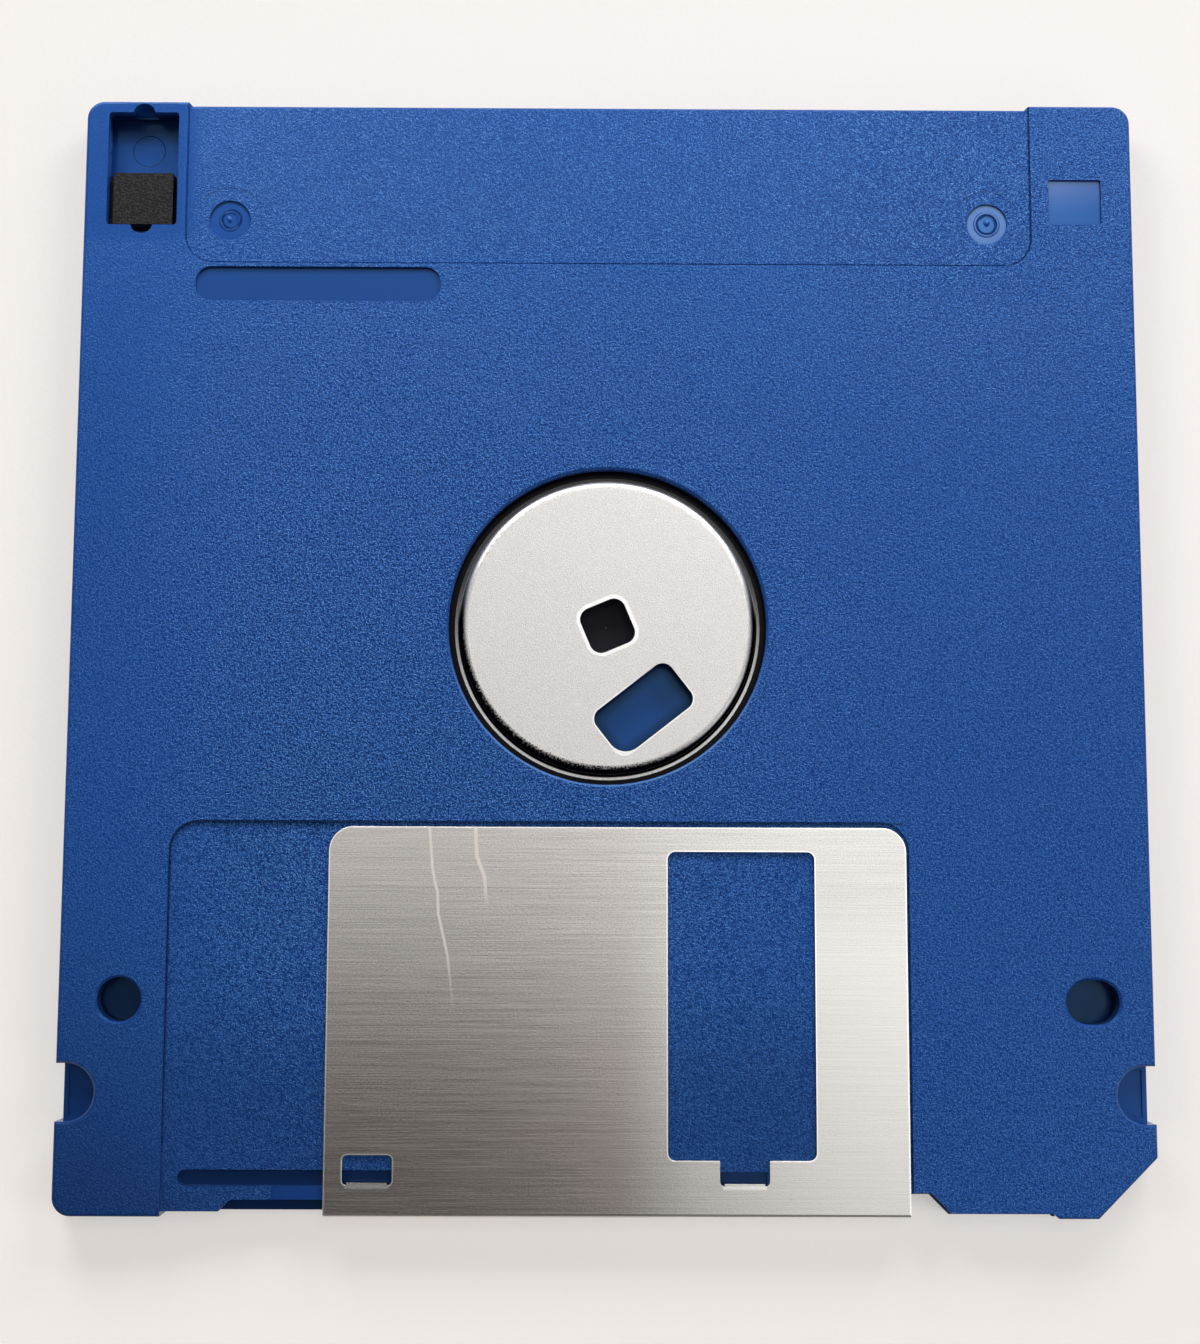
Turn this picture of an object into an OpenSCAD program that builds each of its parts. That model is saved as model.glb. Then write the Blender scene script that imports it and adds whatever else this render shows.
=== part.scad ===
// Flexible disk cartridge, 90 mm size. It lies flat with the hub side up, and the shutter is shut.
// Origin: centre of the case, on the face it lies on. +Y points away from the shutter, +Z up.

/* [Case] */
// Width of the case, side to side
case_w = 90; // [89:0.5:94]
// Length of the case, from the shutter end to the label end
case_l = 94; // [93.5:0.5:98]
// Thickness of the case
case_t = 3.3; // [3.2:0.1:4]
// Thickness of the moulded wall over and under the disk
wall_t = 1; // [0.95:0.05:1.15]
// Thickness of the side walls
rim_t = 1.5; // [1.2:0.1:1.8]
// Radius of the three round corners, seen from above
corner_r = 1.5; // [1:0.1:2.5]
// Radius along the outer edges
edge_r = 0.3; // [0.2:0.05:0.4]
// Leg of the slanting corner cut
skew_leg = 4.9; // [4:0.1:5.5]
// Set-back of the label end, where a label is folded over it
label_end_inset = 0.3; // [0.2:0.05:0.4]

/* [Film disk] */
// Distance of the film's rim from the sides of the case
film_from_side = 2.1; // [2:0.05:2.5]
// Distance of the film's rim from the label end
film_from_back = 2.6; // [2.5:0.05:3]
// Least distance of the film's rim from the shutter end
film_from_front = 5.6; // [5.2:0.05:5.6]
// Thickness of the film
film_t = 0.08; // [0.06:0.01:0.12]
// Gap between the film's rim and the round wall about it
film_rim_gap = 0.5; // [0.4:0.05:0.6]
// Thickness of the round wall about the film
ring_t = 1; // [0.8:0.1:1.3]

/* [Hub] */
// Diameter of the hub's raised cup
hub_d = 24.9; // [24.6:0.1:25.2]
// Width of the hub's flange, under the film
hub_flange_w = 2.8; // [2.2:0.1:3.2]
// Thickness of the hub's sheet steel
hub_sheet_t = 0.3; // [0.25:0.05:0.35]
// Depth of the hub's face below the face of the case
hub_sink = 0.25; // [0.2:0.05:0.4]
// Bend radius at the cup's rim
hub_rim_r = 0.7; // [0.5:0.05:0.9]
// Bend radius at the cup's foot
hub_bend_r = 0.35; // [0.3:0.05:0.45]
// Gap between the hub's foot and the edge of the film
hub_film_gap = 0.1; // [0.05:0.05:0.2]
// Thickness of the adhesive ring
adhesive_t = 0.05; // [0.03:0.01:0.08]
// How far the adhesive ring stays inside the flange and clear of the foot
adhesive_margin = 0.3; // [0.2:0.05:0.4]
// Side of the square spindle hole
spindle_hole = 4; // [3.8:0.1:4.2]
// Turn of the spindle hole
spindle_hole_turn = 23; // [0:1:45]
// Length of the drive-pin hole
pin_hole_l = 8; // [7.6:0.1:8.4]
// Width of the drive-pin hole
pin_hole_w = 4.5; // [4.2:0.1:4.8]
// Distance of the drive-pin hole from the spindle axis
pin_hole_radius = 7.6; // [7.4:0.1:7.8]
// Direction of the drive-pin hole from the spindle axis
pin_hole_dir = -66.5; // [-80:0.5:-50]
// Turn of the drive-pin hole's long side
pin_hole_turn = 38; // [34:1:42]
// Corner radius of both holes
hub_hole_r = 1; // [0.8:0.1:1.2]
// Radius of the drive-pin hole's outermost corner
pin_hole_outer_r = 1.6; // [1:0.1:2]
// Width of the pressed rim about the spindle hole
hub_lip_w = 0.3; // [0.2:0.05:0.4]
// Height of the pressed rim about the spindle hole
hub_lip_h = 0.05; // [0.03:0.01:0.1]
// Gap between the hub and its opening in the case
hub_opening_gap = 0.9; // [0.7:0.05:1.2]
// Land between the hub's opening and the shutter bay
hub_land = 3.05; // [2.8:0.05:3.3]

/* [Liners and pads] */
// Thickness of each wiping liner
liner_t = 0.3; // [0.2:0.05:0.35]
// Gap between the hub's flange and the hole in each liner
liner_hole_gap = 1.4; // [0.9:0.1:3]
// Gap between a liner's rim and the round wall
liner_rim_gap = 0.8; // [0.4:0.1:1.5]
// Gap between a liner and the head window
liner_window_gap = 1.5; // [1:0.1:2]
// Diameter of the wear pad
pad_d = 8.4; // [8:0.1:9]
// Thickness of the wear pad
pad_t = 0.35; // [0.3:0.05:0.5]
// Width of the liner lifter
lifter_w = 12; // [10:0.5:14]
// Length of the liner lifter
lifter_l = 26; // [22:1:30]
// Thickness of the liner lifter
lifter_t = 0.2; // [0.15:0.05:0.25]
// Corner radius of the liner lifter
lifter_r = 1; // [0.5:0.1:1.5]
// Gap between the liner lifter and the sides of its recess
lifter_gap = 0.1; // [0.05:0.05:0.2]

/* [Shutter] */
// Width of the shutter
shutter_w = 47.8; // [47.4:0.1:48.2]
// Right edge of the shutter, from the spindle axis, when shut
shutter_right = 24.8; // [24.5:0.1:25.1]
// Thickness of the sheet
sheet_t = 0.2; // [0.15:0.01:0.22]
// Radius of the plates' upper corners
plate_corner_r = 2; // [1.5:0.1:2.5]
// Inner radius of the two bends
fold_r = 0.15; // [0.1:0.05:0.25]
// Gap left between the open shutter and the end of its bay
open_gap = 0.7; // [0.5:0.1:1]
// Gap between the sheet and the case
shutter_gap = 0.1; // [0.08:0.01:0.15]
// How far each plate laps over the fold's arm
fold_overlap = 0.3; // [0.2:0.05:0.5]
// Corner radius of the head window in the sheet
window_r = 0.6; // [0.4:0.1:0.8]
// Width of the head window in the sheet
window_w = 12.1; // [11.6:0.1:12.6]
// Centre of the head window, from the spindle axis
window_x = 11.1; // [10.8:0.1:11.4]
// Sheet left above the head window
window_margin = 2.05; // [1.8:0.05:2.3]
// Lower edge of the head window, from the fold
window_low = 4.6; // [4.4:0.1:4.8]
// Width of the notch that the guide tab is bent from
tab_notch_w = 4.05; // [3.9:0.05:4.2]
// How far the notch lies right of the window's middle
tab_notch_shift = 0.2; // [0:0.05:0.4]
// Corner radius of both notches
tab_notch_r = 0.4; // [0.3:0.05:0.5]
// Lower edge of both notches, from the fold
tab_notch_low = 2.55; // [2.5:0.05:2.65]
// Height of the small window
small_window_l = 2.4; // [2.2:0.1:2.6]
// Centre of the small window, from the sheet's left edge
small_window_from_left = 3.55; // [3.4:0.05:3.7]
// Width of each guide tab
guide_tab_w = 3.3; // [3:0.1:3.6]
// Depth of each guide tab below the sheet
guide_tab_h = 0.45; // [0.35:0.05:0.5]

/* [Shutter bay] */
// Left end of the bay, from the left side of the case
bay_from_side = 8.8; // [8.6:0.1:9]
// Depth of the bay
bay_depth = 0.35; // [0.33:0.01:0.4]
// Radius of the bay's corner
bay_r = 2.4; // [2:0.1:2.8]
// Gap between the shutter's upper edge and the bay's
bay_top_gap = 0.45; // [0.3:0.05:0.6]
// Gap between the shutter's right edge and the bay's
bay_side_gap = 0.2; // [0.15:0.05:0.3]
// Width of the guide grooves
groove_w = 1.3; // [1.2:0.05:1.4]
// Depth of the guide grooves below the bay's floor
groove_depth = 0.55; // [0.5:0.05:0.6]
// Width of the head window in the case
head_window_w = 9; // [8.8:0.1:9.2]
// Distance of the head window's upper edge below the shutter's
head_window_margin = 2.65; // [2.4:0.05:2.9]
// Lower edge of the head window, from the shutter end
head_window_low = 5.2; // [5.1:0.1:5.4]
// Corner radius of the head window
head_window_r = 0.5; // [0.3:0.1:0.8]

/* [Front edge] */
// Set-back of the edge along the bay
bay_inset = 0.4; // [0.35:0.05:0.5]
// Set-back of the hub side's edge where the spring's arm runs
ledge_inset = 1.35; // [1.2:0.05:1.5]
// Set-back of the notch for the drive's shutter lever
lever_inset = 2.05; // [1.8:0.05:2.3]
// How far the lever notch reaches under the shut shutter
lever_under = 2.2; // [1.8:0.1:2.6]
// Length of the lever notch's flat, right of the shut shutter
lever_flat = 1.7; // [1.4:0.1:2]
// Set-back of the edge right of the lever notch
right_inset = 0.45; // [0.4:0.05:0.55]
// Right end of that edge, from the right side of the case
right_end_from_side = 8.6; // [8.3:0.1:8.7]
// How far the label side stands out beyond the hub side there
front_lip = 0.3; // [0.2:0.05:0.35]
// Length of the sloping-off strip beside the left end of the bay, before the ledge
ledge_from_bay = 4.7; // [4.4:0.1:5]
// Start of the sunk strip under the groove, from the left end of the bay
sunk_strip_from_bay = 9; // [8.5:0.1:9.5]
// Depth of the sunk strip below the bay's floor
sunk_strip_depth = 0.1; // [0.05:0.01:0.15]

/* [Shutter spring] */
// Diameter of the spring wire
wire_d = 0.4; // [0.3:0.05:0.42]
// Mean radius of the coil
coil_r = 1.9; // [1.6:0.1:2.1]
// Rise of the wire in one turn
coil_pitch = 0.43; // [0.43:0.01:0.45]
// Centre of the coil, from the left side of the case
coil_from_side = 11.8; // [11.4:0.1:12.2]
// Centre of the coil, from the shutter end
coil_from_front = 9.6; // [9.4:0.1:9.8]
// Length of the arm that rests in the corner
rest_arm_l = 9; // [8:0.1:9.2]
// Height of the gap between the shells that the other arm runs in
arm_gap_h = 0.9; // [0.8:0.05:1]
// How far that gap reaches beyond the arm's travel at both ends
arm_gap_margin = 2; // [1:0.1:2.2]
// Direction from the coil's centre to where the resting arm leaves it
rest_arm_dir = -69; // [-72:1:-66]
// Share of the moving arm that slants to the parting plane
arm_level_share = 0.4; // [0.3:0.05:0.45]
// Distance of the fold's catch from the small window's middle
catch_offset = 1.45; // [1.3:0.05:1.7]
// Depth of the catch behind the fold
catch_l = 0.7; // [0.6:0.05:0.75]

/* [Write protection] */
// Width of the opening
protect_w = 6; // [5.9:0.1:6.2]
// Length of the opening
protect_l = 10; // [9.8:0.1:10.2]
// Centre of the opening, from the left side of the case
protect_from_side = 4.93; // [4.85:0.02:5.05]
// Centre of the opening, from the label end
protect_from_back = 6; // [5.9:0.1:6.2]
// Width of the tab's top
protect_tab_w = 5.2; // [5:0.1:5.3]
// Length of the tab
protect_tab_l = 4.6; // [4.4:0.1:4.8]
// Depth of the tab's top below the face of the case
protect_tab_sink = 0.45; // [0.3:0.05:0.6]
// How far the tab's foot reaches under the case on each side
protect_foot = 0.7; // [0.6:0.05:0.75]
// Play of the tab in its pocket
protect_play = 0.15; // [0.1:0.01:0.2]
// Radius of the finger notches
finger_r = 0.97; // [0.8:0.01:1.1]
// Depth of the finger notches
finger_depth = 0.75; // [0.6:0.05:0.8]
// Corner radius of the opening
protect_r = 0.3; // [0.2:0.05:0.4]
// Side of the hole through the label side
sense_hole = 3.8; // [3.6:0.1:4]
// Radius of the moulding ring on the floor beyond the tab
floor_ring_r = 1.4; // [1.2:0.1:1.6]
// Depth of the moulding ring
floor_ring_depth = 0.04; // [0.02:0.01:0.06]
// Height of the tab's pocket above the parting plane
protect_lip_rise = 0.3; // [0.25:0.05:0.35]
// Gap over and under the tab's foot
protect_gap = 0.08; // [0.05:0.01:0.1]

/* [Positioning holes] */
// Distance of both holes from the sides of the case
locate_from_side = 4.96; // [4.9:0.02:5.1]
// Distance of both holes from the shutter end
locate_from_front = 17.4; // [17.2:0.1:17.6]
// Diameter of the round hole, and width of the slot
locate_d = 3.6; // [3.5:0.05:3.7]
// Length of the slot
locate_slot_l = 4.4; // [4.2:0.1:4.6]
// Width of the slanting lead-in
lead_in = 0.2; // [0.1:0.05:0.3]
// Wall about both holes inside the case
boss_t = 1.5; // [1.2:0.1:1.8]

/* [Side notches] */
// Distance of the notches from the shutter end
notch_from_front = 9.9; // [9.7:0.1:10.1]
// Radius of the notches
notch_r = 2.35; // [2.2:0.05:2.5]
// Depth of the notches
notch_depth = 3.15; // [3:0.05:3.4]
// Depth of the floor's sunk field
notch_floor_sink = 0.2; // [0.1:0.05:0.3]
// Rim left about the sunk field
notch_floor_rim = 0.4; // [0.3:0.05:0.5]
// Set-back of the label side's edge in the notches
notch_floor_inset = 0.35; // [0.2:0.05:0.4]

/* [Label fields and marks] */
// Distance of the label field from the sides of the case
label_from_side = 8.7; // [8.4:0.1:9]
// Depth of the label field
label_depth = 0.18; // [0.1:0.02:0.2]
// Length of the label field on the hub side
hub_label_l = 14.3; // [13.8:0.1:14.5]
// Land between the label field on the label side and the shutter bay
label_land = 5.4; // [5:0.1:6]
// Radius of the label field's corners
label_r = 2.4; // [2:0.1:3]
// Left end of the long shallow field, from the left side of the case
plate_field_from_side = 9.75; // [9.5:0.05:10]
// Length of the long shallow field
plate_field_l = 20.9; // [20:0.1:22]
// Width of the long shallow field
plate_field_w = 2.95; // [2.7:0.05:3.1]
// Centre of the long shallow field, from the label end
plate_field_from_back = 16.15; // [16:0.05:16.3]
// Corner radius of the long shallow field
plate_field_r = 1.32; // [1:0.02:1.34]
// Depth of the shallow fields
field_depth = 0.3; // [0.2:0.05:0.35]
// Distance of the mould-gate pits from the sides of the case
gate_from_side = 12.5; // [12.2:0.1:13]
// Distance of the mould-gate pits from the label end
gate_from_back = 10.55; // [10.3:0.05:10.8]
// Radius of the mould-gate pits
gate_r = 1.75; // [1.6:0.05:1.9]
// Depth of the mould-gate pits below the label field
gate_depth = 0.14; // [0.1:0.01:0.18]
// Outer radius of the ring in the left pit
gate_ring_r = 0.9; // [0.8:0.05:1]
// Outer radius of the ring in the right pit
gate_crater_r = 1.1; // [1:0.05:1.2]
// Width of the rings in the pits
gate_ring_w = 0.2; // [0.15:0.05:0.25]
// Height of the rings in the pits
gate_ring_h = 0.07; // [0.05:0.01:0.09]
// Radius of the nub in the pits
gate_nub_r = 0.15; // [0.1:0.05:0.2]
// Width of the square field
square_field_w = 4.5; // [4.3:0.1:4.6]
// Length of the square field
square_field_l = 3.95; // [3.8:0.05:4.1]
// Corner radius of the square field
square_field_r = 0.2; // [0.1:0.05:0.3]
// Centre of the square field, from the right side of the case
square_field_from_side = 4.9; // [4.8:0.05:5]
// Centre of the square field, from the label end
square_field_from_back = 8.6; // [8.4:0.05:8.8]
// Length of the insertion arrow on the label side
arrow_l = 4; // [3:0.5:5]
// Distance of the arrow from the left side of the case
arrow_from_side = 4.5; // [4:0.1:5]
// Distance of the arrow from the shutter end
arrow_from_front = 24; // [23:0.5:26]

/* [Weld pins] */
// Diameter of the pins that join the two shells
weld_pin_d = 1.4; // [1.2:0.1:1.6]
// Diameter of the posts that carry them
weld_post_d = 3.4; // [3:0.1:3.6]
// Height of the pins above the parting plane
weld_pin_h = 0.45; // [0.3:0.05:0.5]
// Gap about the pins
weld_gap = 0.05; // [0.03:0.01:0.1]
// Distance of the label-end pins from the label end
weld_from_back = 5; // [4.8:0.1:5.4]
// Distance of the right-hand pin from the right side
weld_from_side = 4; // [3.6:0.1:4.2]
// Distance of the right-hand pin from the positioning slot
weld_over_hole = 9; // [8:0.1:9.5]
// Distance of the slanting corner's pin from both edges there
weld_front_in = 8.5; // [8.3:0.1:8.8]
// Place of the spring's pin on the way from the coil's centre to the catch
weld_share = 0.67; // [0.61:0.01:0.7]
// Land between that pin's post and the groove's strip
weld_from_groove = 0.85; // [0.8:0.05:1]

/* [Hidden] */
$fa = 6;
$fs = 0.35;
eps = 0.01;
far = 3;

front_y = -case_l / 2;
back_y = case_l / 2;
side_x = case_w / 2;
mid_z = case_t / 2;
floor_z = wall_t;
ceiling_z = case_t - wall_t;

// The film fills the case, and its axis is set from the label end
film_d = min(case_w - 2 * film_from_side, case_l - film_from_back - film_from_front);
spindle_y = back_y - film_from_back - film_d / 2;
ring_in_r = film_d / 2 + film_rim_gap;
ring_out_r = ring_in_r + ring_t;

// The film stands half way between the two walls
film_low_z = mid_z - film_t / 2;
flange_top_z = film_low_z - adhesive_t;
flange_low_z = flange_top_z - hub_sheet_t;
hub_face_z = case_t - hub_sink;
hub_foot_r = hub_d / 2 + hub_bend_r;
hub_flange_r = hub_foot_r + hub_flange_w;
film_hole_r = hub_foot_r + hub_film_gap;
liner_hole_r = hub_flange_r + liner_hole_gap;
opening_r = hub_d / 2 + hub_opening_gap;

bay_left = side_x - bay_from_side;
bay_top_y = spindle_y - opening_r - hub_land;
plate_top_y = bay_top_y - bay_top_gap;
shutter_l = plate_top_y - front_y;
shutter_left = shutter_right - shutter_w;
shutter_travel = bay_left + shutter_left - open_gap;
plate_low_z = case_t - bay_depth + shutter_gap;
window_l = shutter_l - window_low - window_margin;
notch_mid_x = window_x + tab_notch_shift;
small_window_x = shutter_left + small_window_from_left;
fold_in_y = front_y + sheet_t;
bend_r = fold_r + sheet_t;
tab_y = front_y + tab_notch_low;
groove_low_y = tab_y - shutter_gap - sheet_t / 4;
head_low_y = front_y + head_window_low;
head_window_l = plate_top_y - head_window_margin - head_low_y;

// The inside pockets stop short of the strip that holds the grooves
front_wall_y = groove_low_y + groove_w + sheet_t;

// Where the spring's arm bears on the catch of the fold
coil_x = coil_from_side - side_x;
catch_x = small_window_x - catch_offset;
catch_h = arm_gap_h - 3 * shutter_gap;
catch_y = fold_in_y + catch_l / 2;

protect_x = protect_from_side - side_x;
protect_y = back_y - protect_from_back;
protect_pocket_w = protect_w + 2 * protect_foot - protect_play;
protect_tab_y = protect_y - protect_l / 2 + protect_play + protect_tab_l / 2;
protect_lip_z = mid_z + protect_lip_rise;
floor_ring_y = (protect_tab_y + protect_tab_l / 2 + protect_y + protect_l / 2) / 2;

label_w = case_w - 2 * label_from_side;
back_label_l = back_y - bay_top_y - label_land;
gate_x = side_x - gate_from_side;
locate_x = side_x - locate_from_side;
locate_y = front_y + locate_from_front;
notch_y = front_y + notch_from_front;

// Centres of the weld posts, in the corner pockets
WELD_POSTS = [
    [-gate_x, back_y - weld_from_back],
    [gate_x, back_y - weld_from_back],
    [side_x - weld_from_side, locate_y + weld_over_hole],
    [side_x - weld_front_in, front_y + weld_front_in],
    [coil_x + weld_share * (catch_x - coil_x), front_wall_y + weld_post_d / 2 + weld_from_groove]
];

// Flat shapes

// A rectangle about the origin with round corners
module round_rect(w, l, r) {
    square([w - 2 * r, l], center = true);
    square([w, l - 2 * r], center = true);
    for (x = [-1, 1], y = [-1, 1])
        translate([x * (w / 2 - r), y * (l / 2 - r)]) circle(r);
}

// What a round of radius r takes off a corner whose point is at the origin, material at +X +Y
module corner_waste(r) {
    difference() {
        translate([-eps, -eps]) square(r + eps);
        translate([r, r]) circle(r);
    }
}

// The waste along the front edge: set-backs of the bay, the spring's ledge, the lever notch and the right end
module front_waste(bay, ledge, lever, right) {
    ledge_x = ledge_from_bay - bay_left;
    lever_x = shutter_right + lever_flat;
    right_x = side_x - right_end_from_side;
    polygon([
        [-bay_left, front_y - far],
        [-bay_left, front_y + bay],
        [ledge_x, front_y + bay],
        [ledge_x + ledge - bay, front_y + ledge],
        [shutter_right - lever_under, front_y + ledge],
        [shutter_right - lever_under, front_y + lever],
        [lever_x, front_y + lever],
        [lever_x + lever - right, front_y + right],
        [right_x, front_y + right],
        [right_x + right, front_y],
        [right_x + right, front_y - far]
    ]);
}

// The case seen from above, without the waste along the front
module case_blank() {
    difference() {
        square([case_w, case_l], center = true);
        translate([-side_x, front_y]) corner_waste(corner_r);
        translate([side_x, back_y]) rotate(180) corner_waste(corner_r);
        translate([-side_x, back_y]) rotate(-90) corner_waste(corner_r);
        translate([side_x, front_y]) rotate(45) square(skew_leg * sqrt(2), center = true);
        polygon([
            [-label_w / 2, back_y + far],
            [-label_w / 2, back_y],
            [label_end_inset - label_w / 2, back_y - label_end_inset],
            [label_w / 2 - label_end_inset, back_y - label_end_inset],
            [label_w / 2, back_y],
            [label_w / 2, back_y + far]
        ]);
    }
}

// A side notch about the origin on the case's side, open towards -X, larger all round by grow
module side_notch(grow = 0) {
    middle = notch_depth - notch_r;
    translate([middle, 0]) circle(notch_r + grow);
    translate([-far, -notch_r - grow]) square([far + middle, 2 * (notch_r + grow)]);
}

// Its children in both side notches' places, the right one mirrored
module at_notches() {
    for (side = [0, 1])
        mirror([side, 0]) translate([-side_x, notch_y]) children();
}

// The slot-shaped positioning hole about the origin; l is its length over all
module slot(l, w) {
    square([l - w, w], center = true);
    for (side = [-1, 1])
        translate([side * (l - w) / 2, 0]) circle(d = w);
}

// Both positioning holes, larger all round by grow
module locate_holes(grow = 0) {
    translate([-locate_x, locate_y]) circle(d = locate_d + 2 * grow);
    translate([locate_x, locate_y]) slot(locate_slot_l + 2 * grow, locate_d + 2 * grow);
}

// The inside pockets in the corners, outside the round wall
module corner_pockets() {
    difference() {
        translate([rim_t - side_x, front_wall_y])
            square([case_w - 2 * rim_t, back_y - label_end_inset - rim_t - front_wall_y]);
        translate([0, spindle_y]) circle(ring_out_r);
        translate([side_x, front_y]) rotate(45) square((skew_leg + 2 * rim_t) * sqrt(2), center = true);
        locate_holes(boss_t);
        at_notches() side_notch(rim_t);
        translate([protect_x, protect_y])
            square([protect_pocket_w + 2 * rim_t, protect_l + 2 * rim_t], center = true);
        for (at = WELD_POSTS)
            translate(at) circle(d = weld_post_d);
    }
}

// The bay that the shutter slides in
module bay() {
    right_x = shutter_right + bay_side_gap;
    difference() {
        translate([-bay_left, front_y - far]) square([right_x + bay_left, bay_top_y - front_y + far]);
        translate([-bay_left, bay_top_y]) rotate(-90) corner_waste(bay_r);
        translate([right_x, bay_top_y]) rotate(180) corner_waste(bay_r);
    }
}

// The groove that the guide tabs run in, with its round left end
module groove() {
    left_x = small_window_x - guide_tab_w / 2 - shutter_travel - groove_w;
    right_x = notch_mid_x + guide_tab_w / 2 + 2 * shutter_gap;
    round_r = groove_w / 2;
    translate([left_x + round_r, groove_low_y]) square([right_x - left_x - round_r, groove_w]);
    translate([left_x + round_r, groove_low_y + round_r]) circle(round_r);
}

// The strip under the groove that lies a little deeper than the bay
module sunk_strip() {
    left_x = sunk_strip_from_bay - bay_left;
    translate([left_x, front_y - far]) square([shutter_right - left_x, groove_low_y - front_y + far]);
}

// The label field, l long from the label end and open there
module label_field(l) {
    difference() {
        translate([-label_w / 2, back_y - l]) square([label_w, l + far]);
        translate([-label_w / 2, back_y - l]) corner_waste(label_r);
        translate([label_w / 2, back_y - l]) rotate(90) corner_waste(label_r);
    }
}

// The write-protect opening with its two finger notches
module protect_opening() {
    translate([protect_x, protect_y]) {
        round_rect(protect_w, protect_l, protect_r);
        for (end = [-1, 1])
            translate([0, end * (protect_l / 2 + finger_depth - finger_r)]) circle(finger_r);
    }
}

// The pocket inside the case that the tab's foot slides in
module protect_pocket() {
    translate([protect_x, protect_y]) square([protect_pocket_w, protect_l], center = true);
}

// The gap between the shells that the spring's moving arm sweeps
module arm_gap() {
    left_x = catch_x - shutter_travel - arm_gap_margin;
    translate([left_x, front_y - far])
        square([catch_x + arm_gap_margin - left_x, front_wall_y + eps - front_y + far]);
}

// Both shells' head window
module head_window() {
    translate([0, head_low_y + head_window_l / 2]) round_rect(head_window_w, head_window_l, head_window_r);
}

// The square spindle hole, larger all round by grow
module spindle_hole_shape(grow = 0) {
    rotate(spindle_hole_turn)
        round_rect(spindle_hole + 2 * grow, spindle_hole + 2 * grow, hub_hole_r + grow);
}

// The drive-pin hole, whose outermost corner is rounder than the other three
module pin_hole_shape() {
    rotate(pin_hole_dir) translate([pin_hole_radius, 0]) rotate(pin_hole_turn - pin_hole_dir) difference() {
        round_rect(pin_hole_l, pin_hole_w, hub_hole_r);
        translate([-pin_hole_l / 2, -pin_hole_w / 2]) corner_waste(pin_hole_outer_r);
    }
}

// Shapes shared by the two shells

// What the edge radius takes off along the outline's upper edge, whose plane is z = 0
module edge_waste() {
    // Its section, at the outline's edge: x inwards, y up
    module section() {
        difference() {
            translate([-eps, -edge_r]) square([edge_r + eps, edge_r + eps]);
            translate([edge_r, -edge_r]) circle(edge_r);
        }
    }
    module bar(at, turn, l) {
        translate(at) rotate(turn) rotate([90, 0, 90]) linear_extrude(l) section();
    }
    module corner(at, turn) {
        translate(at) rotate(turn) rotate_extrude(angle = 90) translate([corner_r, 0]) mirror([1, 0]) section();
    }
    bar([corner_r - side_x, front_y, 0], 0, case_w - corner_r - skew_leg);
    bar([side_x - skew_leg, front_y, 0], 45, skew_leg * sqrt(2));
    bar([side_x, front_y + skew_leg, 0], 90, case_l - corner_r - skew_leg);
    bar([side_x - corner_r, back_y, 0], 180, side_x - corner_r - label_w / 2);
    bar([-label_w / 2, back_y, 0], 180, side_x - corner_r - label_w / 2);
    bar([label_w / 2 - label_end_inset, back_y - label_end_inset, -label_depth], 180,
        label_w - 2 * label_end_inset);
    bar([-side_x, back_y - corner_r, 0], 270, case_l - 2 * corner_r);
    corner([side_x - corner_r, back_y - corner_r, 0], 0);
    corner([corner_r - side_x, back_y - corner_r, 0], 90);
    corner([corner_r - side_x, corner_r + front_y, 0], 180);
}

// Makes a flat waste shape cut depth deep into the face at z = case_t
module sink_top(depth) {
    translate([0, 0, case_t - depth]) linear_extrude(depth + far) children();
}

// The same for the face at z = 0
module sink_bottom(depth) {
    translate([0, 0, -far]) linear_extrude(depth + far) children();
}

// Makes a flat waste shape cut from one height to another
module cut(low, high) {
    translate([0, 0, low]) linear_extrude(high - low) children();
}

// The room for the film and the corner pockets, which both shells have
module inside(low, high) {
    cut(low, high) {
        translate([0, spindle_y]) circle(ring_in_r);
        corner_pockets();
    }
}

// A shallow round pit with a raised ring of radius ring_r and a nub at its centre, cut from above
module gate_pit(ring_r) {
    floor_h = case_t - label_depth - gate_depth;
    cut(floor_h, case_t) difference() {
        circle(gate_r);
        circle(ring_r);
    }
    cut(floor_h + gate_ring_h, case_t) circle(ring_r + eps);
    cut(floor_h, case_t) difference() {
        circle(ring_r - gate_ring_w);
        circle(gate_nub_r);
    }
}

// The slanting rims of the two positioning holes, from z = 0 up
module locate_lead_in() {
    r = locate_d / 2;
    spread = (locate_slot_l - locate_d) / 2;
    translate([-locate_x, locate_y]) cylinder(lead_in + eps, r, r + lead_in);
    translate([locate_x, locate_y]) {
        for (side = [-1, 1])
            translate([side * spread, 0]) cylinder(lead_in + eps, r, r + lead_in);
        translate([-spread, 0, 0]) rotate([90, 0, 90]) linear_extrude(2 * spread)
            polygon([[-r, 0], [r, 0], [r + lead_in, lead_in + eps], [-r - lead_in, lead_in + eps]]);
    }
}

// The slanting rims of the side notches, from z = 0 up
module notch_lead_in() {
    at_notches() translate([notch_depth - notch_r, 0, 0]) {
        cylinder(lead_in + eps, notch_r, notch_r + lead_in);
        rotate([90, 0, -90]) linear_extrude(far)
            polygon([[-notch_r, 0], [notch_r, 0], [notch_r + lead_in, lead_in + eps],
                [-notch_r - lead_in, lead_in + eps]]);
    }
}

// Sub-parts

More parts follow.
